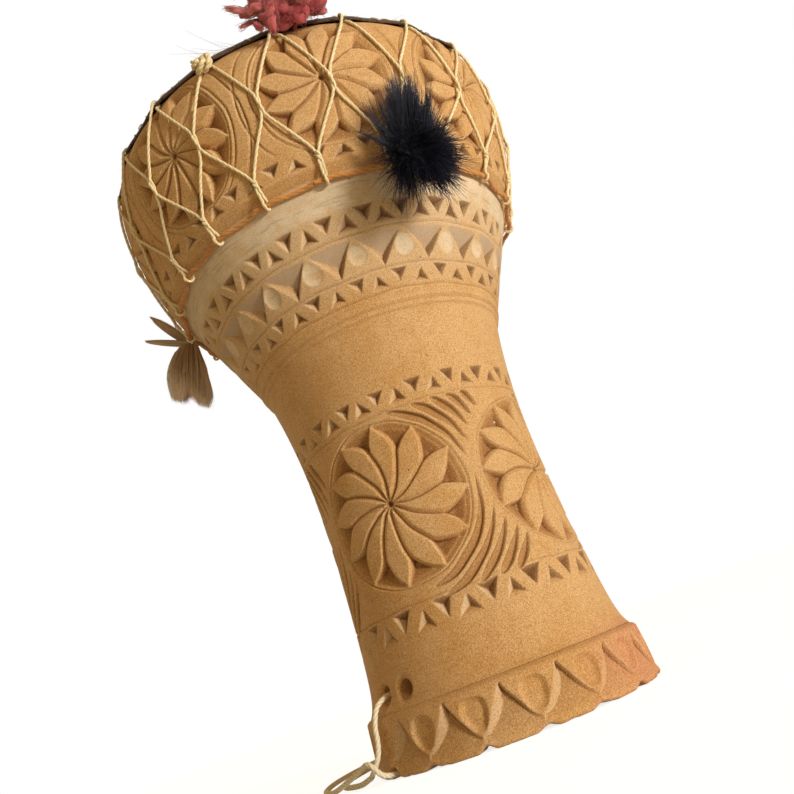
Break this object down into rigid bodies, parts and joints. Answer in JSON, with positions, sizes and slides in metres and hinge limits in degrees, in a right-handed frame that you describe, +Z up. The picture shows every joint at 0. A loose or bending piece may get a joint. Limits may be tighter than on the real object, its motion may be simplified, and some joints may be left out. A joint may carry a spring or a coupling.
{
  "type": "clay goblet hand drum",
  "caption": "Goblet-shaped clay hand drum with a laced skin head, carved bands, fur and wool tassels, a flared foot and a cotton hanging cord.",
  "frame": {"origin": "on the drum's axis, at the underside of its foot", "axes": "+Z up along the drum's axis; the side seen in the picture faces 60 degrees from +X towards -Y"},
  "size_m": [0.155, 0.1548, 0.2343],
  "materials": {
    "clay": "matt unglazed sandy clay",
    "skin": "dried rawhide",
    "cane": "dull orange-brown cord",
    "cotton": "twisted cream cotton",
    "navy_fur": "dark blue fur",
    "red_wool": "matted red wool",
    "tan_fur": "tan fur"
  },
  "bodies": {
    "drum": {"clay_body": "clay", "drum_skin": "skin", "belly_ring": "cane", "lacing_cord": "cotton", "lacing_knot": "cotton", "hanging_cord_hitch": "cotton", "hanging_cord_loop": "cotton"},
    "navy_tassel": {"navy_tuft": "navy_fur", "navy_tie": "navy_fur"},
    "red_tassel": {"red_tuft": "red_wool", "red_tie": "red_wool"},
    "tan_tassel": {"tan_tuft": "tan_fur", "tan_tie": "tan_fur"}
  },
  "joints": [
    {"name": "navy_swing", "type": "hinge", "parent": "drum", "child": "navy_tassel", "pos_m": [0.05303, -0.03915, 0.166], "axis": [0.5939, 0.8045, 0], "range_deg": [-10, 40]},
    {"name": "red_swing", "type": "hinge", "parent": "drum", "child": "red_tassel", "pos_m": [0.04685, -0.05786, 0.21832], "axis": [0.7771, 0.6293, 0], "range_deg": [-45, 12]},
    {"name": "tan_swing", "type": "hinge", "parent": "drum", "child": "tan_tassel", "pos_m": [-0.05709, -0.03294, 0.166], "axis": [0.4997, -0.8662, 0], "range_deg": [-80, 25]}
  ]
}
